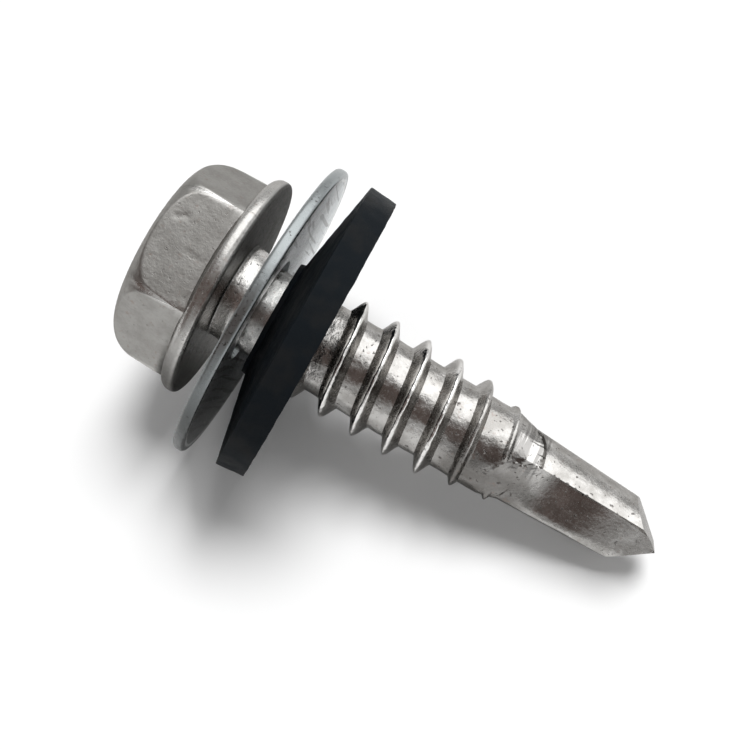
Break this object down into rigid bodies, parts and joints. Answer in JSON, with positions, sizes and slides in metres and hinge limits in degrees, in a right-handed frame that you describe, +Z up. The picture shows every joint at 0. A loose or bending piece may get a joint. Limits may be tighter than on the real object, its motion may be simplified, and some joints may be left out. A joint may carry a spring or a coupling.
{
  "type": "self drilling screw",
  "caption": "Hex washer head screw with a coarse thread and pressed drill point, carrying a dished steel washer and a rubber sealing washer.",
  "frame": {"origin": "on the table, under the middle of the lying screw's bounding box", "axes": "+Z up; the screw's axis lies in the XZ plane, its point towards +X and sloping down to the table"},
  "size_m": [0.0286, 0.016, 0.0155],
  "materials": {
    "screw_steel": "dull forged and rolled steel with pits",
    "washer_steel": "dull scratched steel sheet",
    "seal_rubber": "matt black rubber"
  },
  "bodies": {
    "screw": {"self_drilling_screw": "screw_steel"},
    "steel_washer": {"steel_washer": "washer_steel"},
    "rubber_washer": {"rubber_washer": "seal_rubber"}
  },
  "joints": [
    {"name": "steel_washer_slide", "type": "slide", "parent": "screw", "child": "steel_washer", "axis": [0.967, 0, -0.2548], "range_m": [-0.001, 0.00015]},
    {"name": "rubber_washer_slide", "type": "slide", "parent": "screw", "child": "rubber_washer", "axis": [0.967, 0, -0.2548], "range_m": [-0.00028, 0]}
  ]
}
